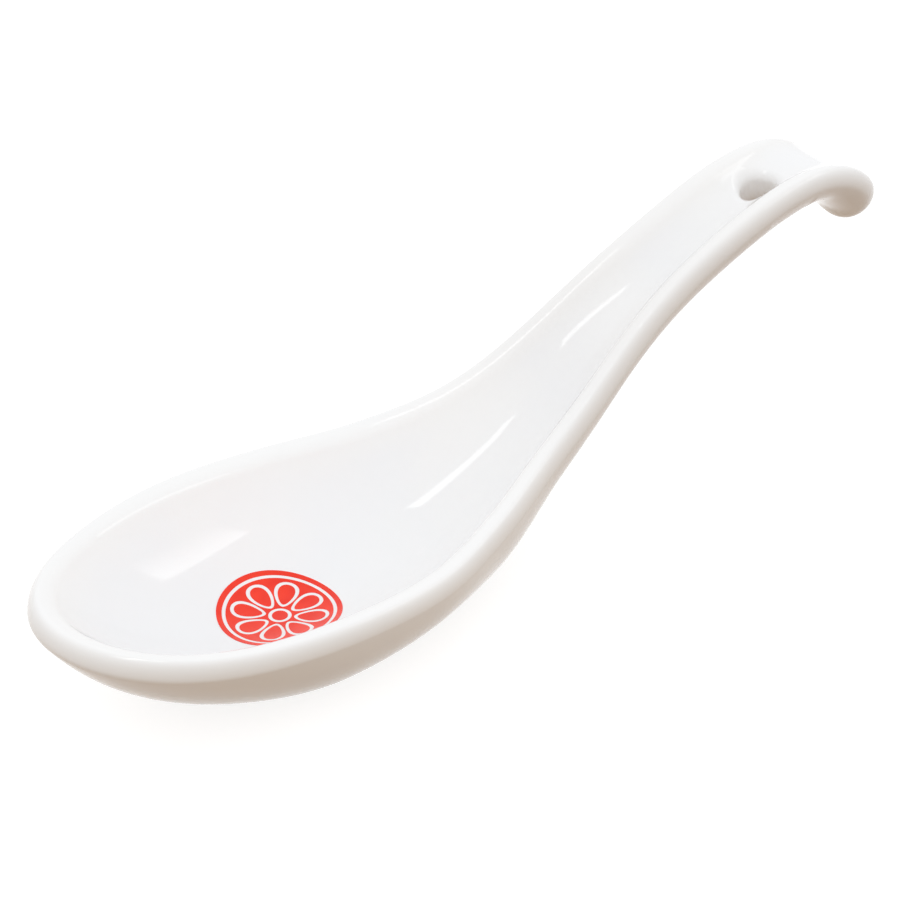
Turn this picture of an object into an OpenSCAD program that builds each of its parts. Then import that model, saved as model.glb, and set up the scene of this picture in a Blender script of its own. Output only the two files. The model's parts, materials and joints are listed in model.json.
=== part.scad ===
// Porcelain soup spoon with a deep pear-shaped bowl, a channelled handle and a hooked end.
// The spoon is drawn out flat along its rim line, section by section, and then bent to the rim's curve.
// Origin: on the flat of the foot, under the widest point of the bowl. X runs to the handle, Z up.

/* [Bowl] */
// Width of the bowl over its rim
bowl_w = 54; // [48:0.5:58]
// Length of the rim line from the tip of the bowl to its widest point
nose_len = 40.8; // [36:0.2:45]
// Depth of the bowl inside, under its rim
bowl_depth = 15; // [12:0.2:17]
// Thickness of the bowl's wall on its middle line, before the foot is cut flat
bowl_wall = 7.8; // [6.4:0.2:8.6]
// Thickness of the base, from the bowl's floor to the flat of the foot
base_t = 5; // [4:0.2:6]
// How far the rim at the tip points down towards the bowl, in degrees
tip_angle = 12; // [4:1:14]

/* [Handle] */
// Length of the rim line from the widest point of the bowl to the start of the rounded end
reach = 127.8; // [115:0.2:140]
// Width at the neck, where the bowl turns into the handle
neck_w = 24.7; // [21:0.1:28]
// Width of the handle along its upper half
handle_w = 19.6; // [17.6:0.2:22]
// Depth of the channel along the handle
channel_depth = 4.4; // [3.2:0.1:5.6]
// Thickness of the handle under the channel
handle_wall = 5.7; // [4.6:0.1:6.6]
// Steepest slope of the rim, at the neck, in degrees
neck_angle = 32; // [26:1:38]

/* [Hook] */
// Length of the rounded end, along the bend
end_len = 19.4; // [17:0.2:22]
// Direction in which the hook's end points, in degrees under the horizontal
hook_angle = 106; // [90:1:110]
// Depth of the shallow dish at the rounded end
end_dish = 0.8; // [0.2:0.1:1.4]
// Thickness of the rounded end on its middle line
end_wall = 7.4; // [5.6:0.1:7.6]

/* [Rim] */
// Height of the rounding on top of the rim
rim_h = 2.7; // [2:0.1:3.1]
// Width of the rounding on the rim's outer side, round the bowl and along the handle
rim_out = 1.6; // [1.2:0.1:2]
// Width of the rounding on the rim's outer side at the hook's end
end_rim_out = 2.1; // [1.4:0.1:2.4]
// Width of the rounding on the rim's inner side, in the bowl
bowl_rim_in = 3.6; // [2.4:0.1:4.2]
// Width of the rounding on the rim's inner side, along the handle
handle_rim_in = 3.2; // [2.2:0.1:3.8]

/* [Hanging hole] */
// Diameter of the hole
hole_d = 6.4; // [4:0.2:7.2]
// Distance of the hole from the start of the rounded end, along the bend
hole_back = 16; // [13:0.5:24]
// Radius of the rounding at the hole's upper mouth
mouth_r = 1.6; // [0.8:0.1:1.8]
// Radius of the rounding at the hole's lower mouth
back_mouth_r = 1; // [0.5:0.1:1.4]

/* [Medallion] */
// Diameter of the enamel medallion in the bowl
medal_d = 20.4; // [16:0.2:22]
// Width of its border ring
ring_w = 0.9; // [0.6:0.1:1.4]
// Width of the bare lines between its patches
line_w = 0.6; // [0.4:0.1:0.9]
// Number of petals
petals = 8; // [5:1:10]
// Length of a petal
petal_l = 4.6; // [3.6:0.1:5]
// Width of a petal at its broad end
petal_w = 2.7; // [2:0.1:2.9]
// Diameter of the dot in the middle
heart_d = 2.6; // [1.6:0.1:3]
// Thickness of the enamel
enamel_t = 0.25; // [0.2:0.05:0.4]

/* [Hidden] */

glaze_white = [0.95, 0.95, 0.94];
enamel_red = [0.9, 0.18, 0.1];

// Room between the enamel and the facets of the bowl's floor
enamel_gap = 0.05;
// How far the keel reaches under the flat of the foot, before that is cut
foot_cut = 1.3;
// Overrun of all cuts
over = 2;
// How far the rounded mouths of the hole reach into its bore
mouth_lap = 0.05;
// Slopes of the wall's outer side under the rim: bowl's sides, bowl's tip, handle, rounded end
side_lean_angle = 77;
tip_lean_angle = 49;
handle_lean_angle = 75;
end_lean_angle = 61;
// Slopes of the wall's inner side under the rim, as shares of the depth over half the width
side_steep_share = 2.9;
tip_steep_share = 2.3;
handle_steep_share = 2.3;
// Flattest arc that a side of the wall may have, as the cosine of its angle
flat_share = 0.97;

// Counts of facets
nose_steps = 12;
body_steps = 46;
end_steps = 8;
wall_steps = 11;
crest_steps = 4;
under_steps = 2;
spine_steps = 260;
mouth_steps = 6;
mouth_sides = 48;
mouth_tries = 4;

// Stations along the spine, where s is the distance from the bowl's tip along the rim line
widest = nose_len;
end_start = nose_len + reach;
run = nose_len + reach + end_len;
function along(share) = nose_len + share * reach;

// Directions of the rim line in degrees, from the tip to the end of the hook
nose_mid_share = 0.55;
end_mid_share = 0.42;
rim_line = [
    [0, -tip_angle],
    [nose_mid_share * nose_len, -2],
    [along(0.08), -2],
    [along(0.3), 0.46 * neck_angle],
    [along(0.5), neck_angle],
    [along(0.7), 0.7 * neck_angle],
    [along(0.825), 0.49 * neck_angle],
    [along(0.912), 3],
    [along(0.985), -19],
    [end_start + end_mid_share * end_len, -0.47 * hook_angle],
    [run, -hook_angle]
];

// Shares of the change from the bowl's size to the neck's or the channel's, at shares of the reach
width_shares = [[0.122, 0.9], [0.239, 0.56], [0.356, 0.2]];
depth_shares = [[0.122, 0.88], [0.239, 0.73], [0.356, 0.39], [0.502, 0]];
half_widths = concat(
    [[widest, bowl_w / 2]],
    [for (p = width_shares) [along(p[0]), mix(neck_w, bowl_w, p[1]) / 2]],
    [[along(0.473), neck_w / 2], [along(0.649), mix(handle_w, neck_w, 0.08) / 2]],
    [[along(0.825), handle_w / 2], [end_start, handle_w / 2]]
);
floor_depths = concat(
    [[widest, bowl_depth]],
    [for (p = depth_shares) [along(p[0]), mix(channel_depth, bowl_depth, p[1])]],
    [[along(0.707), channel_depth], [along(0.88), mix(end_dish, channel_depth, 0.65)]],
    [[end_start, end_dish]]
);
walls = [
    [widest, bowl_wall],
    [along(0.5), handle_wall],
    [along(0.8), handle_wall],
    [end_start, end_wall]
];
rim_outs = [[along(0.5), rim_out], [end_start, end_rim_out]];
rim_ins = [[along(0.12), bowl_rim_in], [along(0.5), handle_rim_in]];
steep_shares = [[along(0.12), side_steep_share], [along(0.42), handle_steep_share]];
leans = [
    [along(0.12), side_lean_angle],
    [along(0.42), handle_lean_angle],
    [along(0.8), handle_lean_angle],
    [end_start, end_lean_angle]
];
// Where the keel leaves the foot, and where it is back under the handle
heel_start = along(0.19);
heel_end = along(0.37);

// Helpers
function mix(a, b, share) = a + (b - a) * share;
function ease(share) = share * share * (3 - 2 * share);
function within(x, low, high) = min(max(x, low), high);

// Smooth curve through the points [x, y] of a table, level at its ends if asked
function slope(t, i) = (t[i + 1][1] - t[i][1]) / (t[i + 1][0] - t[i][0]);
function gap(t, i) = t[i + 1][0] - t[i][0];
function tangent(t, i, level) =
    i == 0 ? (level ? 0 : slope(t, 0)) :
    i == len(t) - 1 ? (level ? 0 : slope(t, i - 1)) :
    (gap(t, i - 1) * slope(t, i) + gap(t, i) * slope(t, i - 1)) / (gap(t, i - 1) + gap(t, i));
function span_of(t, x, i = 0) = i >= len(t) - 2 || x < t[i + 1][0] ? i : span_of(t, x, i + 1);
function blend(t, i, u, level) =
    t[i][1] * (1 - ease(u)) + t[i + 1][1] * ease(u)
    + gap(t, i) * u * (1 - u) * ((1 - u) * tangent(t, i, level) - u * tangent(t, i + 1, level));
function smooth(t, x, level = true) =
    let (q = within(x, t[0][0], t[len(t) - 1][0]), i = span_of(t, q))
    blend(t, i, (q - t[i][0]) / gap(t, i), level);

// The rim line in the XZ plane, added up from its directions
step = run / spine_steps;
headings = [for (i = [0:spine_steps]) smooth(rim_line, i * step, false)];
spine = [for (i = 0, x = 0, z = 0;
              i <= spine_steps;
              x = x + step * cos((headings[i] + headings[min(i + 1, spine_steps)]) / 2),
              z = z + step * sin((headings[i] + headings[min(i + 1, spine_steps)]) / 2),
              i = i + 1) [x, z]];
spine_x = [for (i = [0:spine_steps]) [i * step, spine[i][0]]];
spine_z = [for (i = [0:spine_steps]) [i * step, spine[i][1]]];
spine_a = [for (i = [0:spine_steps]) [i * step, headings[i]]];
x_shift = lookup(widest, spine_x);
z_shift = bowl_depth + base_t - lookup(widest, spine_z);
function rim_x(s) = lookup(s, spine_x) - x_shift;
function rim_z(s) = lookup(s, spine_z) + z_shift;
function rim_angle(s) = lookup(s, spine_a);

// From the flat drawing [distance, side, height over the rim line] to the bent spoon
function bend(s, y, n) =
    let (a = rim_angle(s), out = s - within(s, 0, run))
    [rim_x(s) + out * cos(a) - n * sin(a), y, rim_z(s) + out * sin(a) + n * cos(a)];

// Sizes of the section at a station
function floor_at(s) = smooth(floor_depths, s);
function wall_at(s) = smooth(walls, s);
function heel_share(s) = 1 - ease(within((s - heel_start) / (heel_end - heel_start), 0, 1));
function swell_at(s) =
    let (reach_down = rim_z(s) / cos(rim_angle(s)) + foot_cut)
    heel_share(s) * max(0, reach_down - floor_at(s) - wall_at(s));

// One side of the wall, an arc from the middle line to the rim: [width, drop, depth, angle]
function arc_of(w, drop, d, lean) =
    [w, drop, d, acos(d / max(w * tan(lean) - d, d / flat_share))];
function inner_turn(far, floor_d, out, in, steep) = atan(steep * floor_d / (far - out) * in / rim_h);
function inner_arc(far, floor_d, out, in, steep) =
    let (turn = inner_turn(far, floor_d, out, in, steep), drop = rim_h * (1 - cos(turn)))
    arc_of(far - out - in * sin(turn), drop, floor_d - drop, atan(steep * floor_d / (far - out)));
function outer_arc(far, under_d, out, lean) =
    let (drop = rim_h + out * cos(lean))
    arc_of(far - out + out * sin(lean), drop, under_d - drop, lean);
function arc_point(a, v) =
    let (left_share = (cos(v * a[3]) - cos(a[3])) / (1 - cos(a[3])))
    [a[0] * sin(v * a[3]) / sin(a[3]), -a[1] - a[2] * left_share];

// One half section of the wall at a centre station, with the rim's roundings at station rim_s
// A section is [distance to the rim, inner arc, outer arc, swell, outer and inner rounding, turn, lean]
function section(centre, far, tip_share, rim_s) =
    let (out = smooth(rim_outs, rim_s),
         in = smooth(rim_ins, centre),
         steep = mix(smooth(steep_shares, centre), tip_steep_share, tip_share),
         lean = mix(smooth(leans, centre), tip_lean_angle, tip_share),
         floor_d = floor_at(centre))
    [far, inner_arc(far, floor_d, out, in, steep),
     outer_arc(far, floor_d + wall_at(centre), out, lean), swell_at(centre), out, in,
     inner_turn(far, floor_d, out, in, steep), lean];
function inner_point(c, v) = arc_point(c[1], v);
function outer_point(c, v) = arc_point(c[2], v) - [0, c[3] * pow(1 - v * v, 2)];
function crest_point(c, side_w, a) = [c[0] - c[4] + side_w * sin(a), -rim_h * (1 - cos(a))];
function under_point(c, a) = [c[0] - c[4] + c[4] * cos(a), -rim_h - c[4] * sin(a)];
function half_section(c) = concat(
    [for (i = [0:wall_steps]) inner_point(c, i / wall_steps)],
    [for (i = [crest_steps - 1:-1:0]) crest_point(c, -c[5], c[6] * i / crest_steps)],
    [for (i = [1:crest_steps]) crest_point(c, c[4], 90 * i / crest_steps)],
    [for (i = [1:under_steps - 1]) under_point(c, (90 - c[7]) * i / under_steps)],
    [for (i = [wall_steps:-1:0]) outer_point(c, i / wall_steps)]
);

// Outline of the flat drawing: half an ellipse at the nose, the tapering body, half an ellipse at the end
// A spoke is [centre station, direction along, direction across, distance to the rim, tip share]
function nose_spoke(share) =
    let (p = [-nose_len * cos(90 * share), bowl_w / 2 * sin(90 * share)], l = norm(p))
    [widest, p[0] / l, p[1] / l, l, pow(p[0] / l, 2)];
function body_spoke(share) =
    let (s = mix(widest, end_start, share))
    [s, 0, 1, smooth(half_widths, s), 0];
function end_spoke(share) =
    let (p = [end_len * sin(90 * share), handle_w / 2 * cos(90 * share)], l = norm(p))
    [end_start, p[0] / l, p[1] / l, l, 0];
spokes = concat(
    [for (i = [0:nose_steps - 1]) nose_spoke(i / nose_steps)],
    [for (i = [0:body_steps]) body_spoke(i / body_steps)],
    [for (i = [1:end_steps]) end_spoke(i / end_steps)]
);
function spoke_section(k) = section(k[0], k[3], k[4], k[0] + k[1] * k[3]);
function spoke_points(k, side) =
    [for (p = half_section(spoke_section(k))) bend(k[0] + p[0] * k[1], side * p[0] * k[2], p[1])];

// Closed skin: the spokes go once round the outline, and meet on the middle line inside and outside
last_spoke = len(spokes) - 1;
round_count = 2 * last_spoke;
function spoke_at(i) = i <= last_spoke ? i : round_count - i;
function middle_at(i) = within(spoke_at(i) - nose_steps, 0, body_steps);
section_count = 2 * (wall_steps + 1) + 2 * crest_steps + under_steps - 1;
ring_count = section_count - 2;
skin_points = concat(
    [for (i = [0:body_steps]) spoke_points(spokes[i + nose_steps], 1)[0]],
    [for (i = [0:body_steps]) spoke_points(spokes[i + nose_steps], 1)[section_count - 1]],
    [for (i = [0:round_count - 1])
        let (pts = spoke_points(spokes[spoke_at(i)], i <= last_spoke ? 1 : -1))
        for (k = [1:ring_count]) pts[k]]
);
function corner(i, k) =
    let (w = i % round_count)
    k == 0 ? middle_at(w) :
    k == section_count - 1 ? body_steps + 1 + middle_at(w) :
    2 * (body_steps + 1) + w * ring_count + k - 1;
function sides(a, b, c, d) = [for (t = [[a, b, c], [a, c, d]])
    if (t[0] != t[1] && t[1] != t[2] && t[0] != t[2]) t];
skin_faces = [for (i = [0:round_count - 1]) for (k = [0:section_count - 2])
    for (t = sides(corner(i, k), corner(i, k + 1), corner(i + 1, k + 1), corner(i + 1, k))) t];

module skin() {
    polyhedron(points = skin_points, faces = skin_faces, convexity = 6);
}

// Everything under the flat of the foot
module foot_plane_cut() {
    translate([-nose_len - over, -bowl_w / 2, -bowl_depth])
        cube([2 * nose_len + reach, bowl_w, bowl_depth]);
}

// Hole square to the channel's floor, with rounded mouths that follow the skin
hole_s = end_start - hole_back;
hole_r = hole_d / 2;
function body_section(s) = section(s, smooth(half_widths, s), 0, s);
function skin_height(s, y, side) =
    let (c = body_section(s))
    lookup(abs(y), [for (i = [0:wall_steps])
        side > 0 ? inner_point(c, i / wall_steps) : outer_point(c, i / wall_steps)]);
function from_hole(p) =
    let (x = p[0] - rim_x(hole_s), z = p[2] - rim_z(hole_s), a = rim_angle(hole_s))
    [x * cos(a) + z * sin(a), z * cos(a) - x * sin(a)];
// Height of the skin over the point [x, y] of the hole's own plane, found by trying stations
function skin_over(x, y, side, s, tries) =
    let (p = from_hole(bend(s, y, skin_height(s, y, side))))
    tries == 0 ? p[1] : skin_over(x, y, side, s + x - p[0], tries - 1);
function mouth_point(lip_r, side, turn, share) =
    let (round_r = lip_r + mouth_lap,
         r = hole_r - mouth_lap + round_r * (1 - sin(90 * share)),
         x = r * cos(turn),
         y = r * sin(turn),
         skin_z = skin_over(x, y, side, hole_s + x, mouth_tries))
    [x, y, skin_z - side * round_r * (1 - cos(90 * share))];
function mouth_ring(lip_r, side, share, lift) =
    [for (i = [0:mouth_sides - 1])
        mouth_point(lip_r, side, 360 * i / mouth_sides, share) + [0, 0, side * lift]];
function mouth_face(t, side) = side > 0 ? t : [t[2], t[1], t[0]];
module mouth(lip_r, side) {
    rings = concat(
        [mouth_ring(lip_r, side, 0, channel_depth)],
        [for (j = [0:mouth_steps]) mouth_ring(lip_r, side, j / mouth_steps, 0)]
    );
    last = mouth_steps + 1;
    count = mouth_sides * (last + 1);
    ends = [for (j = [0, last]) [0, 0, rings[j][0][2]]];
    polyhedron(
        points = concat([for (ring = rings) each ring], ends),
        faces = [for (i = [0:mouth_sides - 1])
            let (n = (i + 1) % mouth_sides)
            each concat(
                [for (j = [0:mouth_steps])
                    let (a = j * mouth_sides, b = a + mouth_sides)
                    for (t = sides(a + i, a + n, b + n, b + i)) mouth_face(t, side)],
                [mouth_face([count, n, i], side)],
                [mouth_face([count + 1, last * mouth_sides + i, last * mouth_sides + n], side)])],
        convexity = 4);
}
module hanging_hole() {
    translate([rim_x(hole_s), 0, rim_z(hole_s)])
        rotate([0, -rim_angle(hole_s), 0]) {
            translate([0, 0, -floor_at(hole_s) - wall_at(hole_s) - over])
                cylinder(r = hole_r, h = wall_at(hole_s) + 2 * over, $fn = 64);
            mouth(mouth_r, 1);
            mouth(back_mouth_r, -1);
        }
}

module spoon_body() {
    color(glaze_white)
        difference() {
            skin();
            foot_plane_cut();
            hanging_hole();
        }
}

// Thin slab that follows the bowl's floor, from which the enamel patches are cut
slab_half = medal_d / 2 + line_w;
slab_steps = 12;
function floor_section(s, y) =
    s >= widest ? body_section(s) :
    let (l = norm([s - widest, y]), a = [(widest - s) / l, abs(y) / l])
    section(widest, 1 / norm([a[0] / nose_len, a[1] / (bowl_w / 2)]), a[0] * a[0], widest);
function floor_height(s, y) =
    let (c = floor_section(s, y), r = s >= widest ? abs(y) : norm([s - widest, y]))
    lookup(r, [for (i = [0:wall_steps]) inner_point(c, i / wall_steps)]);
function slab_point(i, j, lift) =
    let (s = widest + mix(-slab_half, slab_half, i / slab_steps),
         y = mix(-slab_half, slab_half, j / slab_steps))
    bend(s, y, floor_height(s, y) + lift);
slab_side = slab_steps + 1;
slab_points = [for (lift = [enamel_gap, enamel_gap + enamel_t])
    for (i = [0:slab_steps]) for (j = [0:slab_steps]) slab_point(i, j, lift)];
function slab_id(i, j, top) = top * slab_side * slab_side + i * slab_side + j;
function wall_quad(i, j, k, l) =
    sides(slab_id(i, j, 0), slab_id(k, l, 0), slab_id(k, l, 1), slab_id(i, j, 1));
slab_faces = [
    for (i = [0:slab_steps - 1]) for (j = [0:slab_steps - 1]) each concat(
        sides(slab_id(i, j, 1), slab_id(i, j + 1, 1), slab_id(i + 1, j + 1, 1), slab_id(i + 1, j, 1)),
        sides(slab_id(i, j, 0), slab_id(i + 1, j, 0), slab_id(i + 1, j + 1, 0), slab_id(i, j + 1, 0))),
    for (i = [0:slab_steps - 1]) each concat(
        wall_quad(i, slab_steps, i + 1, slab_steps), wall_quad(i + 1, 0, i, 0),
        wall_quad(0, i, 0, i + 1), wall_quad(slab_steps, i + 1, slab_steps, i))
];
module enamel() {
    color(enamel_red)
        intersection() {
            polyhedron(points = slab_points, faces = slab_faces, convexity = 4);
            linear_extrude(height = bowl_depth + base_t)
                children();
        }
}

// The medallion's pattern, drawn flat
ring_r = medal_d / 2;
field_r = ring_r - ring_w - line_w;
petal_tip = field_r - 2 * line_w;
petal_mid = petal_tip - petal_l / 2;
petal_points = 28;
petal_egg_share = 0.35;
module petal(grow) {
    polygon([for (i = [0:petal_points - 1])
        let (a = 360 * i / petal_points)
        [petal_mid + (petal_l / 2 + grow) * cos(a),
         (petal_w / 2 + grow) * sin(a) * (1 + petal_egg_share * cos(a))]]);
}
module petal_ring(grow) {
    for (i = [0:petals - 1])
        rotate(360 * i / petals)
            petal(grow);
}

module enamel_border() {
    enamel()
        difference() {
            circle(ring_r, $fn = 72);
            circle(ring_r - ring_w, $fn = 72);
        }
}
module enamel_field() {
    enamel()
        difference() {
            circle(field_r, $fn = 72);
            petal_ring(line_w);
            circle(heart_d / 2 + line_w, $fn = 36);
        }
}
module enamel_petals() {
    enamel()
        petal_ring(0);
}
module enamel_heart() {
    enamel()
        circle(heart_d / 2, $fn = 36);
}

spoon_body();
enamel_border();
enamel_field();
enamel_petals();
enamel_heart();
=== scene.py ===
import json
from math import acos, atan, atan2, cos, hypot, pi, radians, sin, tan

import bpy
from mathutils import Matrix, Vector

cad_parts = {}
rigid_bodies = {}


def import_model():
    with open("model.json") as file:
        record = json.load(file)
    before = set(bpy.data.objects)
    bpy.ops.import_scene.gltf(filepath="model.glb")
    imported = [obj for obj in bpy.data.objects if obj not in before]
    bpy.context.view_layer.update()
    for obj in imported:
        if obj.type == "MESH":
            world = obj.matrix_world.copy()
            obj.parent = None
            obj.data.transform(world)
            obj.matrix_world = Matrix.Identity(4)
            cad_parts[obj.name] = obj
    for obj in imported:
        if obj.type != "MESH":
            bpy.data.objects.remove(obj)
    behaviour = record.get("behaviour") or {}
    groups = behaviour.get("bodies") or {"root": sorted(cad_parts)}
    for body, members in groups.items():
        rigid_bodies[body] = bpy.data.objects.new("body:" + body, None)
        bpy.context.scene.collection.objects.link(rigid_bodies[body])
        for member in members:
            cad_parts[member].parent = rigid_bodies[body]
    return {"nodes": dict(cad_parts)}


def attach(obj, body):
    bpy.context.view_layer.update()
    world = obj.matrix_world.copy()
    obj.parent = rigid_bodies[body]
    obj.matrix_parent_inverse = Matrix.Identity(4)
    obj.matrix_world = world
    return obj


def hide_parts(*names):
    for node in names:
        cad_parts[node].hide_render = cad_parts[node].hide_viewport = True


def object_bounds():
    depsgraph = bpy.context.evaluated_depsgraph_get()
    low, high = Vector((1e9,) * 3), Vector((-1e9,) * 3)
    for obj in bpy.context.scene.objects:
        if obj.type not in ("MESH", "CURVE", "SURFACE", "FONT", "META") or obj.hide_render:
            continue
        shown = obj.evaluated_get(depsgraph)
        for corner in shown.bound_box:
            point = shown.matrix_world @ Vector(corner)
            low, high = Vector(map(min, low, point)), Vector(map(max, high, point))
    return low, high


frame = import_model()
cadLow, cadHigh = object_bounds()
print("frame loaded,", len(frame["nodes"]), "solids")

mm = 0.001

# Porcelain body, all in millimetres and degrees, measured along the rim line from the tip of the bowl
spoon = {
    "bowlWidth": 54, "noseLength": 40.8, "bowlDepth": 15, "bowlWall": 7.8, "base": 5, "tipAngle": 12,
    "reach": 127.8, "neckWidth": 24.7, "handleWidth": 19.6, "channelDepth": 4.4, "handleWall": 5.7,
    "neckAngle": 32, "endLength": 19.4, "hookAngle": 106, "endDish": 0.8, "endWall": 7.4,
    "rimHeight": 2.7, "rimOut": 1.6, "endRimOut": 2.1, "bowlRimIn": 3.6, "handleRimIn": 3.2,
    "sideLean": 77, "handleLean": 75, "endLean": 61, "tipLean": 49,    # the outer wall's slopes under the rim
    "sideSteep": 2.9, "handleSteep": 2.3, "tipSteep": 2.3,    # the inner wall's, times depth over half width
    "flattest": 0.97,
    "footCut": 1.3,            # the keel reaches this far under the foot before that is cut flat
    "footRings": (0.35, 0.9),  # widths of the rings inside the foot's edge
    "heel": (0.19, 0.37),      # shares of the reach where the keel leaves the foot and reaches the handle
    "wallPoints": 26, "rimSteps": (40, 12, 4), "nosePoints": 34, "bodyPoints": 150, "endPoints": 22,
    "paintedRimFade": 6,              # wall points over which the rim's painted lightening dies away
    "close": 0.001,            # closer than this counts as one height
}
hole = {
    "diameter": 6.4, "back": 16, "upperLip": 1.6, "lowerLip": 1.0,
    "halfLength": 7, "blockPlaces": 25,    # the block of faces that the round hole takes the place of
    "patchRings": 5, "lipRings": 7, "wallRings": 2,    # wall rings come in even numbers
}


def mixOf(a, b, share):
    return a + (b - a) * share


def easeOf(share):
    return share * share * (3 - 2 * share)


def within(x, low, high):
    return min(max(x, low), high)


def smoothTable(table, x, level=True):    # smooth curve through the table's points, level at its ends
    x = within(x, table[0][0], table[-1][0])
    i = 0
    while i < len(table) - 2 and x >= table[i + 1][0]:
        i += 1
    gaps = [b[0] - a[0] for a, b in zip(table, table[1:])]
    slopes = [(b[1] - a[1]) / g for a, b, g in zip(table, table[1:], gaps)]

    def tangent(k):
        if k == 0 or k == len(table) - 1:
            return 0 if level else slopes[0 if k == 0 else -1]
        return (gaps[k - 1] * slopes[k] + gaps[k] * slopes[k - 1]) / (gaps[k - 1] + gaps[k])

    u = (x - table[i][0]) / gaps[i]
    hump = gaps[i] * u * (1 - u) * ((1 - u) * tangent(i) - u * tangent(i + 1))
    return mixOf(table[i][1], table[i + 1][1], easeOf(u)) + hump


widest = spoon["noseLength"]
endStart = widest + spoon["reach"]
rimRun = endStart + spoon["endLength"]


def along(share):
    return widest + share * spoon["reach"]


headingTable = [
    (0, -spoon["tipAngle"]),
    (0.55 * widest, -2),
    (along(0.08), -2),
    (along(0.3), 0.46 * spoon["neckAngle"]),
    (along(0.5), spoon["neckAngle"]),
    (along(0.7), 0.7 * spoon["neckAngle"]),
    (along(0.825), 0.49 * spoon["neckAngle"]),
    (along(0.912), 3),
    (along(0.985), -19),
    (endStart + 0.42 * spoon["endLength"], -0.47 * spoon["hookAngle"]),
    (rimRun, -spoon["hookAngle"]),
]
halfWidthTable = [
    (widest, spoon["bowlWidth"] / 2),
    *[(along(at), mixOf(spoon["neckWidth"], spoon["bowlWidth"], share) / 2)
      for at, share in ((0.122, 0.9), (0.239, 0.56), (0.356, 0.2))],
    (along(0.473), spoon["neckWidth"] / 2),
    (along(0.649), mixOf(spoon["handleWidth"], spoon["neckWidth"], 0.08) / 2),
    (along(0.825), spoon["handleWidth"] / 2),
    (endStart, spoon["handleWidth"] / 2),
]
depthTable = [
    (widest, spoon["bowlDepth"]),
    *[(along(at), mixOf(spoon["channelDepth"], spoon["bowlDepth"], share))
      for at, share in ((0.122, 0.88), (0.239, 0.73), (0.356, 0.39), (0.502, 0))],
    (along(0.707), spoon["channelDepth"]),
    (along(0.88), mixOf(spoon["endDish"], spoon["channelDepth"], 0.65)),
    (endStart, spoon["endDish"]),
]
wallTable = [
    (widest, spoon["bowlWall"]),
    (along(0.5), spoon["handleWall"]),
    (along(0.8), spoon["handleWall"]),
    (endStart, spoon["endWall"]),
]
rimOutTable = [(along(0.5), spoon["rimOut"]), (endStart, spoon["endRimOut"])]
rimInTable = [(along(0.12), spoon["bowlRimIn"]), (along(0.5), spoon["handleRimIn"])]
steepTable = [(along(0.12), spoon["sideSteep"]), (along(0.42), spoon["handleSteep"])]
leanTable = [
    (along(0.12), spoon["sideLean"]),
    (along(0.42), spoon["handleLean"]),
    (along(0.8), spoon["handleLean"]),
    (endStart, spoon["endLean"]),
]


def makeRimLine(count=520):    # places and directions along the rim, added up from the headings
    step = rimRun / count
    headings = [smoothTable(headingTable, i * step, False) for i in range(count + 1)]
    line, x, z = [], 0, 0
    for i in range(count + 1):
        line.append((x, z, headings[i]))
        a = radians((headings[i] + headings[min(i + 1, count)]) / 2)
        x, z = x + step * cos(a), z + step * sin(a)
    return step, line


rimStep, rimLine = makeRimLine()


def rimAt(s):
    u = within(s, 0, rimRun) / rimStep
    i = min(int(u), len(rimLine) - 2)
    return [mixOf(a, b, u - i) for a, b in zip(rimLine[i], rimLine[i + 1])]


rimShift = (-rimAt(widest)[0], spoon["bowlDepth"] + spoon["base"] - rimAt(widest)[1])


def bendToRim(s, y, n):    # from the flat drawing to the bent spoon, in metres
    x, z, heading = rimAt(s)
    a, beyond = radians(heading), s - within(s, 0, rimRun)
    return Vector((x + rimShift[0] + beyond * cos(a) - n * sin(a), y,
                   z + rimShift[1] + beyond * sin(a) + n * cos(a))) * mm


def curveOf(width, depth, steep):    # one side of the wall, from the middle line up to the rim's rounding
    return width, depth, acos(depth / max(width * steep - depth, depth / spoon["flattest"]))


def sectionAt(centre, far, tipShare, rimPlace):    # half a section, at a station of the flat drawing
    x, z, heading = rimAt(centre)
    floor, wall, rimH = smoothTable(depthTable, centre), smoothTable(wallTable, centre), spoon["rimHeight"]
    heelStart, heelEnd = (along(share) for share in spoon["heel"])
    heel = 1 - easeOf(within((centre - heelStart) / (heelEnd - heelStart), 0, 1))
    reachDown = (z + rimShift[1]) / cos(radians(heading)) + spoon["footCut"]
    outW, inW = smoothTable(rimOutTable, rimPlace), smoothTable(rimInTable, centre)
    crest = far - outW
    lean = radians(mixOf(smoothTable(leanTable, centre), spoon["tipLean"], tipShare))
    steep = mixOf(smoothTable(steepTable, centre), spoon["tipSteep"], tipShare) * floor / crest
    turn = atan(steep * inW / rimH)
    innerTop, outerTop = rimH * (1 - cos(turn)), rimH + outW * cos(lean)
    return {"crest": crest, "outW": outW, "inW": inW, "turn": turn, "lean": lean,
            "inner": (innerTop, *curveOf(crest - inW * sin(turn), floor - innerTop, steep)),
            "outer": (outerTop, *curveOf(crest + outW * sin(lean), floor + wall - outerTop, tan(lean))),
            "swell": heel * max(0, reachDown - floor - wall)}


def wallPoint(c, v, side):    # v runs from the keel to the rim, side is 1 inside and -1 outside
    top, width, depth, arc = c["inner"] if side > 0 else c["outer"]
    n = -top - depth * (cos(v * arc) - cos(arc)) / (1 - cos(arc))
    return width * sin(v * arc) / sin(arc), n - (c["swell"] * (1 - v * v) ** 2 if side < 0 else 0)


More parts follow.
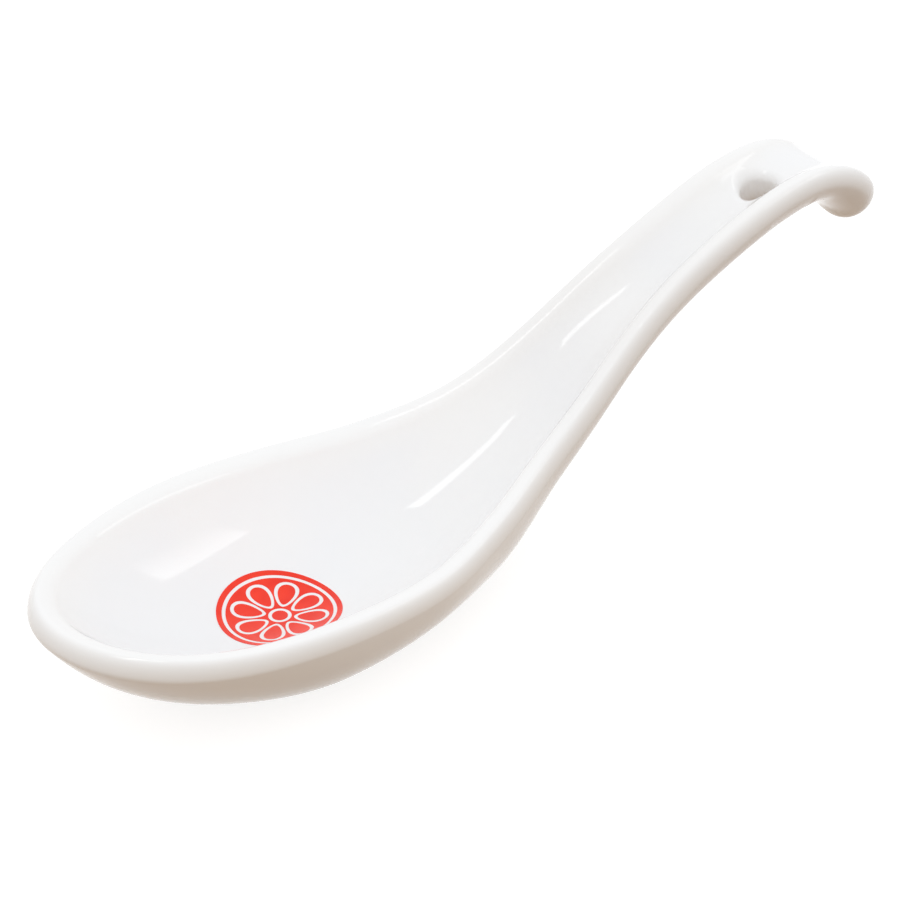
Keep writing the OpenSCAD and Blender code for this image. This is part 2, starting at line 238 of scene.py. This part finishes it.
def rimPoint(c, i):    # rounded rim, from its inner side over the crest to its under side
    inner, outer, under = spoon["rimSteps"]
    h, outW = spoon["rimHeight"], c["outW"]
    if i < inner:
        a = c["turn"] * (1 - i / inner)
        return c["crest"] - c["inW"] * sin(a), -h * (1 - cos(a))
    if i <= inner + outer:
        a = pi / 2 * (i - inner) / outer
        return c["crest"] + outW * sin(a), -h * (1 - cos(a))
    a = (pi / 2 - c["lean"]) * (i - inner - outer) / under
    return c["crest"] + outW * cos(a), -h - outW * sin(a)


wallPoints, rimPoints = spoon["wallPoints"], sum(spoon["rimSteps"])
chainPlaces = 2 * wallPoints + rimPoints    # on a half section, from the floor over the rim to the keel


def chainPoint(c, place):
    if place <= wallPoints:
        return wallPoint(c, place / wallPoints, 1)
    if place < wallPoints + rimPoints:
        return rimPoint(c, place - wallPoints)
    return wallPoint(c, (chainPlaces - place) / wallPoints, -1)


def noseSpoke(turn):    # turn is 0 across the bowl and a quarter circle at the tip
    x, y = -widest * sin(turn), spoon["bowlWidth"] / 2 * cos(turn)
    reach = hypot(x, y)
    return widest, x / reach, y / reach, sectionAt(widest, reach, (x / reach) ** 2, widest + x)


def bodySpoke(s):
    return s, 0, 1, sectionAt(s, smoothTable(halfWidthTable, s), 0, s)


def endSpoke(turn):
    x, y = spoon["endLength"] * sin(turn), spoon["handleWidth"] / 2 * cos(turn)
    reach = hypot(x, y)
    return endStart, x / reach, y / reach, sectionAt(endStart, reach, 0, endStart + x)


def deselectAll():
    for item in bpy.context.selected_objects:
        item.select_set(False)
    bpy.context.view_layer.objects.active = None


def selectParts(piece, vertTest=None, faceTest=None):    # picks vertices or faces by their place
    bpy.ops.object.mode_set(mode="EDIT")
    bpy.ops.mesh.select_all(action="DESELECT")
    bpy.ops.mesh.select_mode(type="FACE" if faceTest else "VERT")
    bpy.ops.object.mode_set(mode="OBJECT")
    if faceTest:
        for face in piece.data.polygons:
            face.select = faceTest(face)
    else:
        for vert in piece.data.vertices:
            vert.select = vertTest(vert.co)
    bpy.ops.object.mode_set(mode="EDIT")


def applyAll(piece):
    bpy.context.view_layer.objects.active = piece
    for name in [m.name for m in piece.modifiers]:
        bpy.ops.object.modifier_apply(modifier=name)


# The blank is half a round-ended tube, which is then drawn to the spoon's sections
blank = {"radius": 20 * mm, "step": 1 * mm, "slack": 0.01 * mm}
blankLength = spoon["bodyPoints"] * blank["step"]
holeStation = endStart - hole["back"]
bodyPitch = spoon["reach"] / spoon["bodyPoints"]
holeRow = round((holeStation - widest) / bodyPitch)
holeRows = (holeRow - hole["halfLength"], holeRow + hole["halfLength"])
ringPlan = [("upperPatch", (i + 1) / hole["patchRings"]) for i in range(hole["patchRings"])]
ringPlan += [("upperLip", (i + 1) / hole["lipRings"]) for i in range(hole["lipRings"])]
ringPlan += [("wall", (i + 1) / (hole["wallRings"] + 1)) for i in range(hole["wallRings"])]
ringPlan += [("lowerLip", 1 - i / hole["lipRings"]) for i in range(hole["lipRings"])]
ringPlan += [("lowerPatch", 1 - i / hole["patchRings"]) for i in range(hole["patchRings"])]


def placeAngle(place):
    return pi * place / chainPlaces


def makeBlank():
    deselectAll()
    bpy.ops.mesh.primitive_circle_add(vertices=2 * chainPlaces, radius=blank["radius"],
                                      rotation=(pi / 2, 0, pi / 2))
    piece = bpy.context.object
    piece.name = "porcelainBody"
    bpy.ops.object.transform_apply(location=True, rotation=True, scale=True)
    selectParts(piece, vertTest=lambda p: p.y < -blank["slack"])
    bpy.ops.mesh.delete(type="VERT")
    bpy.ops.mesh.select_all(action="SELECT")
    for i in range(spoon["bodyPoints"]):
        bpy.ops.mesh.extrude_edges_move(TRANSFORM_OT_translate={"value": (blank["step"], 0, 0)})
    selectParts(piece, vertTest=lambda p: p.x < blank["slack"])
    bpy.ops.mesh.spin(steps=spoon["nosePoints"], angle=-pi / 2, center=(0, 0, 0), axis=(0, 0, 1))
    selectParts(piece, vertTest=lambda p: p.x > blankLength - blank["slack"])
    bpy.ops.mesh.spin(steps=spoon["endPoints"], angle=pi / 2, center=(blankLength, 0, 0), axis=(0, 0, 1))
    return piece


def openHole(piece):    # a shaft through the blank, ring by ring from its upper to its lower skin
    low, high = (row * blank["step"] for row in holeRows)
    side = blank["radius"] * sin(placeAngle(hole["blockPlaces"]))
    slack = blank["slack"]

    def inBlock(p):
        return low - slack < p.x < high + slack and p.y < side + slack and abs(p.z) > blank["radius"] * 0.3

    def onEdge(p):
        return inBlock(p) and (p.x < low + slack or p.x > high - slack or p.y > side - slack)

    selectParts(piece, faceTest=lambda face: all(inBlock(piece.data.vertices[v].co) for v in face.vertices))
    bpy.ops.mesh.delete(type="FACE")
    selectParts(piece, vertTest=lambda p: p.z > 0 and onEdge(p))
    heights = [1 - 2 * (i + 1) / (len(ringPlan) + 1) for i in range(len(ringPlan) + 1)]
    before = 1
    for height in heights:
        bpy.ops.mesh.extrude_edges_move(TRANSFORM_OT_translate={"value": (0, 0, 0)})
        bpy.ops.transform.resize(value=(1, 1, height / before), center_override=(0, 0, 0))
        before = height
    bpy.ops.mesh.select_all(action="SELECT")
    bpy.ops.mesh.remove_doubles(threshold=slack)
    bpy.ops.object.mode_set(mode="OBJECT")


def wallHeight(s, y, side):    # height of the channel's upper or lower skin over a point of the flat drawing
    c = bodySpoke(s)[3]
    low, high = 0.0, 1.0
    for i in range(26):
        v = (low + high) / 2
        if wallPoint(c, v, side)[0] < y:
            low = v
        else:
            high = v
    return wallPoint(c, (low + high) / 2, side)[1]


def toHole(p):    # from the bent spoon to the hole's own plane, in millimetres
    a, offset = radians(rimAt(holeStation)[2]), (p - bendToRim(holeStation, 0, 0)) / mm
    return offset.x * cos(a) + offset.z * sin(a), offset.z * cos(a) - offset.x * sin(a)


def skinOver(x, y, side):    # station and height of the skin over a point of the hole's plane
    s, height = holeStation + x, 0
    for i in range(6):
        ahead, height = toHole(bendToRim(s, y, wallHeight(s, y, side)))
        s += x - ahead
    return s, height


def fromHole(x, y, height):
    a = radians(rimAt(holeStation)[2])
    turned = Vector((x * cos(a) - height * sin(a), y, x * sin(a) + height * cos(a)))
    return bendToRim(holeStation, 0, 0) + turned * mm


def holePoint(row, place, ring):    # a point of the hole's mouths and bore
    s = widest + row * bodyPitch
    c = bodySpoke(s)[3]
    kind, share = ringPlan[ring]
    upper = chainPoint(c, place)
    edge = upper if kind.startswith("upper") else chainPoint(c, chainPlaces - place)
    turn = atan2(upper[0], s - holeStation)
    radius = hole["diameter"] / 2
    side, lip = (1, hole["upperLip"]) if kind.startswith("upper") else (-1, hole["lowerLip"])
    if kind.endswith("Patch"):
        y = (radius + lip) * sin(turn)
        lipStation = skinOver((radius + lip) * cos(turn), y, side)[0]
        s, y = mixOf(s, lipStation, share), mixOf(edge[0], y, share)
        return bendToRim(s, y, wallHeight(s, y, side))
    if kind.endswith("Lip"):
        r = radius + lip * (1 - sin(share * pi / 2))
        x, y = r * cos(turn), r * sin(turn)
        return fromHole(x, y, skinOver(x, y, side)[1] - side * lip * (1 - cos(share * pi / 2)))
    x, y = radius * cos(turn), radius * sin(turn)
    top, bottom = skinOver(x, y, 1)[1] - hole["upperLip"], skinOver(x, y, -1)[1] + hole["lowerLip"]
    return fromHole(x, y, mixOf(top, bottom, share))


def drawToSections(piece):
    spokes = {}
    paintedRimLight = piece.data.attributes.new("paintedRimLight", "FLOAT", "POINT")

    def spokeOf(zone, value):
        key = (zone, round(value, 5))
        if key not in spokes:
            spokes[key] = {"nose": noseSpoke, "body": bodySpoke, "end": endSpoke}[zone](key[1])
        return spokes[key]

    for vert in piece.data.vertices:
        p, radius = vert.co, blank["radius"]
        row = within(p.x, 0, blankLength)
        out = hypot(p.x - row, p.y)
        if hypot(out, p.z) < radius - 0.2 * mm:    # a ring of the hole
            top = (radius ** 2 - p.y ** 2) ** 0.5
            ring = round((1 - p.z / top) / 2 * (len(ringPlan) + 1)) - 1
            place = round(atan2(p.y, top) / pi * chainPlaces)
            vert.co = holePoint(round(row / blank["step"]), place, ring)
        else:
            place = round(atan2(out, p.z) / pi * chainPlaces)
            turn = atan2(abs(p.x - row), p.y) if out > blank["slack"] else 0
            if p.x < -blank["slack"]:
                centre, dx, dy, c = spokeOf("nose", turn)
            elif p.x > blankLength + blank["slack"]:
                centre, dx, dy, c = spokeOf("end", turn)
            else:
                centre, dx, dy, c = spokeOf("body", widest + row / blank["step"] * bodyPitch)
            r, n = chainPoint(c, place)
            vert.co = bendToRim(centre + r * dx, r * dy, n)
            # painted light: 1 on the rim's rounding, fading down the walls, marks where the glaze is painted
            # lighter
            beyond = max(wallPoints - place, place - wallPoints - rimPoints, 0)
            paintedRimLight.data[vert.index].value = easeOf(max(1 - beyond / spoon["paintedRimFade"], 0))


close = spoon["close"] * mm


def finishBody(piece):
    mirror = piece.modifiers.new("otherHalf", "MIRROR")
    mirror.use_axis = (False, True, False)
    mirror.use_clip = True
    mirror.merge_threshold = 2 * close
    applyAll(piece)
    bpy.ops.object.mode_set(mode="EDIT")
    bpy.ops.mesh.select_all(action="SELECT")
    bpy.ops.mesh.remove_doubles(threshold=2 * close)
    bpy.ops.mesh.bisect(plane_co=(0, 0, 0), plane_no=(0, 0, 1), clear_inner=True, threshold=close / 2)
    selectParts(piece, vertTest=lambda p: p.z < close)
    bpy.ops.mesh.remove_doubles(threshold=30 * close)
    bpy.ops.object.mode_set(mode="OBJECT")
    edge = [vert.co.copy() for vert in piece.data.vertices if vert.co.z < close]
    lowX, highX = min(p.x for p in edge), max(p.x for p in edge)
    middle, halfX, halfY = (lowX + highX) / 2, (highX - lowX) / 2, max(p.y for p in edge)
    selectParts(piece, vertTest=lambda p: p.z < close)
    for width in spoon["footRings"]:
        bpy.ops.mesh.extrude_edges_move(TRANSFORM_OT_translate={"value": (0, 0, 0)})
        shrink = (1 - width * mm / halfX, 1 - width * mm / halfY, 1)
        bpy.ops.transform.resize(value=shrink, center_override=(middle, 0, 0))
        halfX, halfY = halfX - width * mm, halfY - width * mm
    bpy.ops.mesh.edge_face_add()
    bpy.ops.mesh.select_all(action="SELECT")
    bpy.ops.mesh.normals_make_consistent(inside=False)
    bpy.ops.object.mode_set(mode="OBJECT")


def keepInBox(piece):    # the CAD's facets cut its curves a little short, so the finer mesh is drawn in
    across, up = ([vert.co[i] for vert in piece.data.vertices] for i in (0, 2))
    shareX = min(cadLow[0] / min(across), cadHigh[0] / max(across), 1)
    shareZ = min(cadHigh[2] / max(up), 1)
    bpy.ops.object.mode_set(mode="EDIT")
    bpy.ops.mesh.select_all(action="SELECT")
    bpy.ops.transform.resize(value=(shareX, 1, shareZ), center_override=(0, 0, 0))
    bpy.ops.object.mode_set(mode="OBJECT")


body = makeBlank()
openHole(body)
drawToSections(body)
finishBody(body)
keepInBox(body)
print("porcelain body:", len(body.data.polygons), "faces")

# Enamel medallion: a thin sheet over the bowl's floor, cut to the pattern
medallion = {
    "diameter": 20.4, "ringWidth": 0.9, "lineWidth": 0.6, "petals": 8, "petalLength": 4.6, "petalWidth": 2.7,
    "eggShare": 0.35, "heart": 2.6, "thickness": 0.08, "sunk": 0.02,
    "circlePoints": 120, "petalPoints": 44, "height": 12, "margin": 2,
}
ringR = medallion["diameter"] / 2
fieldR = ringR - medallion["ringWidth"] - medallion["lineWidth"]
heartR = medallion["heart"] / 2
petalMid = fieldR - 2 * medallion["lineWidth"] - medallion["petalLength"] / 2


def makeSheet(name):
    deselectAll()
    body.select_set(True)
    bpy.context.view_layer.objects.active = body
    bpy.ops.object.duplicate()
    piece = bpy.context.object
    piece.name = name
    limit = (ringR + medallion["margin"]) * mm
    selectParts(piece, faceTest=lambda face: face.normal.z < 0.3 or face.center.xy.length > limit)
    bpy.ops.mesh.delete(type="FACE")
    bpy.ops.object.mode_set(mode="OBJECT")
    solid = piece.modifiers.new("thickness", "SOLIDIFY")
    solid.thickness = medallion["thickness"] * mm
    solid.offset = 1 - 2 * medallion["sunk"] / medallion["thickness"]
    applyAll(piece)
    return piece


def makePrism(outline):    # upright block over a flat outline
    deselectAll()
    bpy.ops.mesh.primitive_circle_add(vertices=len(outline), radius=mm, fill_type="NGON")
    piece = bpy.context.object
    for vert, (x, y) in zip(piece.data.vertices, outline):
        vert.co = (x * mm, y * mm, 0)
    bpy.ops.object.mode_set(mode="EDIT")
    bpy.ops.mesh.select_all(action="SELECT")
    bpy.ops.mesh.extrude_region_move(TRANSFORM_OT_translate={"value": (0, 0, medallion["height"] * mm)})
    bpy.ops.mesh.select_all(action="SELECT")
    bpy.ops.mesh.normals_make_consistent(inside=False)
    bpy.ops.object.mode_set(mode="OBJECT")
    return piece


def circleLine(radius):
    count = medallion["circlePoints"]
    return [(radius * cos(2 * pi * i / count), radius * sin(2 * pi * i / count)) for i in range(count)]


def petalLine(turn, grow):
    line, count = [], medallion["petalPoints"]
    for i in range(count):
        a = 2 * pi * i / count
        x = petalMid + (medallion["petalLength"] / 2 + grow) * cos(a)
        y = (medallion["petalWidth"] / 2 + grow) * sin(a) * (1 + medallion["eggShare"] * cos(a))
        line.append((x * cos(turn) - y * sin(turn), x * sin(turn) + y * cos(turn)))
    return line


def combine(piece, other, operation):
    cut = piece.modifiers.new("cut", "BOOLEAN")
    cut.operation, cut.object, cut.solver = operation, other, "EXACT"
    applyAll(piece)
    bpy.data.objects.remove(other)


def allPetals(grow):
    return [petalLine(2 * pi * i / medallion["petals"], grow) for i in range(medallion["petals"])]


def makePatch(name, keep, holes):
    piece = makeSheet(name)
    block = makePrism(keep[0])
    for outline in keep[1:]:
        combine(block, makePrism(outline), "UNION")
    for outline in holes:
        combine(block, makePrism(outline), "DIFFERENCE")
    combine(piece, block, "INTERSECT")
    deselectAll()
    piece.select_set(True)
    bpy.context.view_layer.objects.active = piece
    bpy.ops.object.shade_smooth_by_angle(angle=radians(30))
    print(name + ":", len(piece.data.polygons), "faces")
    return piece


ringHole = [circleLine(ringR - medallion["ringWidth"])]
fieldHoles = allPetals(medallion["lineWidth"]) + [circleLine(heartR + medallion["lineWidth"])]
patches = [
    (makePatch("enamelBorder", [circleLine(ringR)], ringHole), "enamel_border"),
    (makePatch("enamelField", [circleLine(fieldR)], fieldHoles), "enamel_field"),
    (makePatch("enamelPetals", allPetals(0), []), "enamel_petals"),
    (makePatch("enamelHeart", [circleLine(heartR)], []), "enamel_heart"),
]


# Glaze and enamel
def startMaterial(name):
    material = bpy.data.materials.new(name)
    material.use_nodes = True
    nodes = material.node_tree.nodes
    return material, nodes, material.node_tree.links, nodes["Principled BSDF"]


def addNoise(nodes, links, scale, detail=2.0):
    coords, noise = nodes.new("ShaderNodeTexCoord"), nodes.new("ShaderNodeTexNoise")
    noise.inputs["Scale"].default_value = scale
    noise.inputs["Detail"].default_value = detail
    links.new(coords.outputs["Object"], noise.inputs["Vector"])
    return noise


def addRamp(nodes, links, source, stops):
    ramp = nodes.new("ShaderNodeValToRGB")
    ramp.color_ramp.elements[0].position, ramp.color_ramp.elements[0].color = stops[0]
    ramp.color_ramp.elements[1].position, ramp.color_ramp.elements[1].color = stops[-1]
    for position, color in stops[1:-1]:
        ramp.color_ramp.elements.new(position).color = color
    links.new(source, ramp.inputs["Fac"])
    return ramp


def addRange(nodes, links, source, low, high, start=0.0, end=1.0):
    span = nodes.new("ShaderNodeMapRange")
    for name, value in (("From Min", start), ("From Max", end), ("To Min", low), ("To Max", high)):
        span.inputs[name].default_value = value
    links.new(source, span.inputs["Value"])
    return span


def addBump(nodes, links, height, distance, strength, below=None):
    bump = nodes.new("ShaderNodeBump")
    bump.inputs["Distance"].default_value = distance
    bump.inputs["Strength"].default_value = strength
    links.new(height, bump.inputs["Height"])
    if below:
        links.new(below.outputs["Normal"], bump.inputs["Normal"])
    return bump


# the rim tone is a lighter colour painted onto the rim as painted light, so that the rim looks lit
glaze = {
    "cool": (0.923, 0.926, 0.931, 1), "warm": (0.943, 0.941, 0.934, 1), "paintedRimTone": (0.95, 0.946, 0.935, 1),
    "cloudScale": 45, "waveScale": 70, "waveHeight": 0.05, "pitScale": 800, "pitHeight": 0.002,
    "roughness": (0.045, 0.10), "paintedRimShare": 0.7,
}


def glazedPorcelain():
    material, nodes, links, shader = startMaterial("glazedPorcelain")
    cloud = addNoise(nodes, links, glaze["cloudScale"], 3.0)
    tone = addRamp(nodes, links, cloud.outputs["Fac"], [(0.35, glaze["cool"]), (0.65, glaze["warm"])])
    # painted light: towards the rim the glaze colour is mixed to the lighter rim tone
    rim = nodes.new("ShaderNodeAttribute")
    rim.attribute_name = "paintedRimLight"
    paintedRimMix = nodes.new("ShaderNodeMixRGB")
    paintedRimMix.inputs["Color2"].default_value = glaze["paintedRimTone"]
    paintedRimShare = addRange(nodes, links, rim.outputs["Fac"], 0.0, glaze["paintedRimShare"])
    links.new(paintedRimShare.outputs["Result"], paintedRimMix.inputs["Fac"])
    links.new(tone.outputs["Color"], paintedRimMix.inputs["Color1"])
    links.new(paintedRimMix.outputs["Color"], shader.inputs["Base Color"])
    wear = addNoise(nodes, links, glaze["cloudScale"] * 4, 4.0)
    gloss = addRange(nodes, links, wear.outputs["Fac"], *glaze["roughness"], 0.3, 0.7)
    links.new(gloss.outputs["Result"], shader.inputs["Roughness"])
    waves = addNoise(nodes, links, glaze["waveScale"], 1.0)
    pits = addNoise(nodes, links, glaze["pitScale"], 2.0)
    first = addBump(nodes, links, waves.outputs["Fac"], glaze["waveHeight"] * mm, 0.5)
    second = addBump(nodes, links, pits.outputs["Fac"], glaze["pitHeight"] * mm, 0.5, first)
    links.new(second.outputs["Normal"], shader.inputs["Normal"])
    shader.inputs["IOR"].default_value = 1.52
    return material


biscuit = {
    "dark": (0.80, 0.78, 0.74, 1), "pale": (0.87, 0.855, 0.82, 1), "grainScale": 900, "grainHeight": 0.03,
    "roughness": (0.6, 0.85),
}


def bareFoot():    # the foot is wiped free of glaze before firing
    material, nodes, links, shader = startMaterial("bareFoot")
    grain = addNoise(nodes, links, biscuit["grainScale"], 6.0)
    tone = addRamp(nodes, links, grain.outputs["Fac"], [(0.3, biscuit["dark"]), (0.7, biscuit["pale"])])
    links.new(tone.outputs["Color"], shader.inputs["Base Color"])
    rough = addRange(nodes, links, grain.outputs["Fac"], *biscuit["roughness"], 0.3, 0.7)
    links.new(rough.outputs["Result"], shader.inputs["Roughness"])
    bump = addBump(nodes, links, grain.outputs["Fac"], biscuit["grainHeight"] * mm, 0.7)
    links.new(bump.outputs["Normal"], shader.inputs["Normal"])
    return material


enamel = {
    "deep": (0.90, 0.026, 0.006, 1), "bright": (0.98, 0.040, 0.011, 1), "poolScale": 260,
    "poolHeight": 0.02, "wearScale": 1500, "wearHeight": 0.003, "roughness": (0.10, 0.20),
}


def redEnamel():
    material, nodes, links, shader = startMaterial("redEnamel")
    pool = addNoise(nodes, links, enamel["poolScale"], 3.0)
    tone = addRamp(nodes, links, pool.outputs["Fac"], [(0.35, enamel["deep"]), (0.65, enamel["bright"])])
    links.new(tone.outputs["Color"], shader.inputs["Base Color"])
    wear = addNoise(nodes, links, enamel["wearScale"], 4.0)
    gloss = addRange(nodes, links, wear.outputs["Fac"], *enamel["roughness"], 0.3, 0.7)
    links.new(gloss.outputs["Result"], shader.inputs["Roughness"])
    first = addBump(nodes, links, pool.outputs["Fac"], enamel["poolHeight"] * mm, 0.5)
    second = addBump(nodes, links, wear.outputs["Fac"], enamel["wearHeight"] * mm, 0.5, first)
    links.new(second.outputs["Normal"], shader.inputs["Normal"])
    shader.inputs["IOR"].default_value = 1.38
    shader.inputs["Coat Weight"].default_value = 0.1
    shader.inputs["Coat Roughness"].default_value = 0.05
    return material


body.data.materials.append(glazedPorcelain())
body.data.materials.append(bareFoot())
for face in body.data.polygons:
    onFoot = face.center.z < close and face.normal.z < -0.9
    face.use_smooth = not onFoot
    face.material_index = 1 if onFoot else 0
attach(body, "root")
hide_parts("spoon_body")
red = redEnamel()
for piece, node in patches:
    piece.data.materials.clear()
    piece.data.materials.append(red)
    for face in piece.data.polygons:
        face.material_index = 0
    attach(piece, "root")
    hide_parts(node)

# Stage
view = {
    "place": (-137.879, -227.169, 205.721), "aim": (0.51045, 0.66876, -0.54056), "roll": -1.5629,
    "lens": 81.78,
}
lamps = [
    {"name": "sideSoftbox", "azimuth": 120, "elevation": 45, "turn": -23, "size": (0.44, 0.20),
     "light": 2.1, "fade": True},
    {"name": "overheadStrip", "azimuth": -97, "elevation": 74, "turn": 103, "size": (0.40, 0.11),
     "light": 2.8, "fade": False},
]
rig = {"middle": (0.03, 0, 0.02), "reach": 0.8}    # where the lamps point, and from how far


def fadeAcross(lamp):    # the light dies away towards one side of the softbox
    lamp.use_nodes = True
    nodes, links = lamp.node_tree.nodes, lamp.node_tree.links
    place, split = nodes.new("ShaderNodeNewGeometry"), nodes.new("ShaderNodeSeparateXYZ")
    links.new(place.outputs["Parametric"], split.inputs["Vector"])
    rise = addRange(nodes, links, split.outputs["Y"], 0.0, 1.0)
    links.new(rise.outputs["Result"], nodes["Emission"].inputs["Strength"])


def addLamp(lamp):
    deselectAll()
    bpy.ops.object.light_add(type="AREA")
    piece = bpy.context.object
    piece.name = lamp["name"]
    piece.data.shape = "RECTANGLE"
    piece.data.size, piece.data.size_y = lamp["size"]
    piece.data.energy = lamp["light"] * pi * lamp["size"][0] * lamp["size"][1]
    a, e = radians(lamp["azimuth"]), radians(lamp["elevation"])
    away = Vector((sin(a) * cos(e), cos(a) * cos(e), sin(e)))
    piece.location = Vector(rig["middle"]) + away * rig["reach"]
    turn = Matrix.Rotation(radians(lamp["turn"]), 4, away)
    piece.rotation_euler = (turn @ (-away).to_track_quat("-Z", "Y").to_matrix().to_4x4()).to_euler()
    piece.visible_diffuse = False    # these only draw the highlights, the room gives the light
    if lamp["fade"]:
        fadeAcross(piece.data)


def lightPathMix(nodes, links, whenSeen, otherwise):    # one shader to be seen and mirrored, one to light by
    path, seen, either = (nodes.new(kind) for kind in
                          ("ShaderNodeLightPath", "ShaderNodeMath", "ShaderNodeMath"))
    seen.operation = either.operation = "MAXIMUM"
    links.new(path.outputs["Is Camera Ray"], seen.inputs[0])
    links.new(path.outputs["Is Glossy Ray"], seen.inputs[1])
    links.new(seen.outputs["Value"], either.inputs[0])
    links.new(path.outputs["Is Transmission Ray"], either.inputs[1])
    mixed = nodes.new("ShaderNodeMixShader")
    links.new(either.outputs["Value"], mixed.inputs["Fac"])
    links.new(otherwise.outputs[0], mixed.inputs[1])
    links.new(whenSeen.outputs[0], mixed.inputs[2])
    return mixed


room = {
    "low": (0.77, 0.72, 0.63, 1), "middle": (0.93, 0.90, 0.87, 1), "high": (0.98, 0.99, 1.01, 1),
    "full": 0.5, "light": 1.04,
    "near": (0.28, 0.135, 0.01, 1), "far": (0.12, 0.04, 0.0, 1),    # the floor's bounce
    "patch": (0.105, 0.175),
    "floorSeen": 0.34, "floorGlow": 0.82, "floorRadius": 3, "floorGap": 0.02,
}


def makeWorld():
    world = bpy.data.worlds.new("studio")
    bpy.context.scene.world = world
    world.use_nodes = True
    nodes, links = world.node_tree.nodes, world.node_tree.links
    nodes.clear()
    white, sky, coords, split, out = (nodes.new(kind) for kind in (
        "ShaderNodeBackground", "ShaderNodeBackground", "ShaderNodeTexCoord", "ShaderNodeSeparateXYZ",
        "ShaderNodeOutputWorld"))
    white.inputs["Strength"].default_value = 1.0
    white.inputs["Color"].default_value = (1, 1, 1, 1)
    sky.inputs["Strength"].default_value = room["light"]
    links.new(coords.outputs["Generated"], split.inputs["Vector"])
    rise = addRange(nodes, links, split.outputs["Z"], 0.0, 1.0, 0.0, room["full"])
    rise.interpolation_type = "SMOOTHSTEP"
    stops = [(0.0, room["low"]), (0.5, room["middle"]), (1.0, room["high"])]
    tone = addRamp(nodes, links, rise.outputs["Result"], stops)
    links.new(tone.outputs["Color"], sky.inputs["Color"])
    links.new(lightPathMix(nodes, links, white, sky).outputs[0], out.inputs["Surface"])


def makeFloor():
    deselectAll()
    bpy.ops.mesh.primitive_circle_add(vertices=96, radius=room["floorRadius"], fill_type="NGON",
                                      location=(rig["middle"][0], 0, -room["floorGap"] * mm))
    floor = bpy.context.object
    floor.name = "floor"
    material = bpy.data.materials.new("paleFloor")
    material.use_nodes = True
    nodes, links = material.node_tree.nodes, material.node_tree.links
    nodes.clear()
    paper, glow, sheet, seen, out = (nodes.new(kind) for kind in (
        "ShaderNodeBsdfDiffuse", "ShaderNodeEmission", "ShaderNodeBsdfDiffuse", "ShaderNodeAddShader",
        "ShaderNodeOutputMaterial"))
    coords, length = nodes.new("ShaderNodeTexCoord"), nodes.new("ShaderNodeVectorMath")
    length.operation = "LENGTH"
    links.new(coords.outputs["Object"], length.inputs[0])
    spread = addRange(nodes, links, length.outputs["Value"], 0.0, 1.0, *room["patch"])
    bounce = addRamp(nodes, links, spread.outputs["Result"], [(0.0, room["near"]), (1.0, room["far"])])
    links.new(bounce.outputs["Color"], paper.inputs["Color"])    # what lights the underside
    sheet.inputs["Color"].default_value = (*[room["floorSeen"]] * 3, 1)
    glow.inputs["Strength"].default_value = room["floorGlow"]
    links.new(sheet.outputs[0], seen.inputs[0])
    links.new(glow.outputs[0], seen.inputs[1])
    links.new(lightPathMix(nodes, links, seen, paper).outputs[0], out.inputs["Surface"])
    floor.data.materials.append(material)


def makeCamera():
    camera = bpy.data.objects.new("camera", bpy.data.cameras.new("camera"))
    bpy.context.scene.collection.objects.link(camera)
    bpy.context.scene.camera = camera
    camera.data.sensor_width, camera.data.lens = 36, view["lens"]
    camera.data.clip_start, camera.data.clip_end = 0.01, 20
    camera.location = Vector(view["place"]) * mm
    aim = Vector(view["aim"])
    roll = Matrix.Rotation(radians(-view["roll"]), 4, aim)
    camera.rotation_euler = (roll @ aim.to_track_quat("-Z", "Y").to_matrix().to_4x4()).to_euler()


for lamp in lamps:
    addLamp(lamp)
makeWorld()
makeFloor()
makeCamera()
bpy.context.scene.view_settings.view_transform = "Standard"
print("stage set")
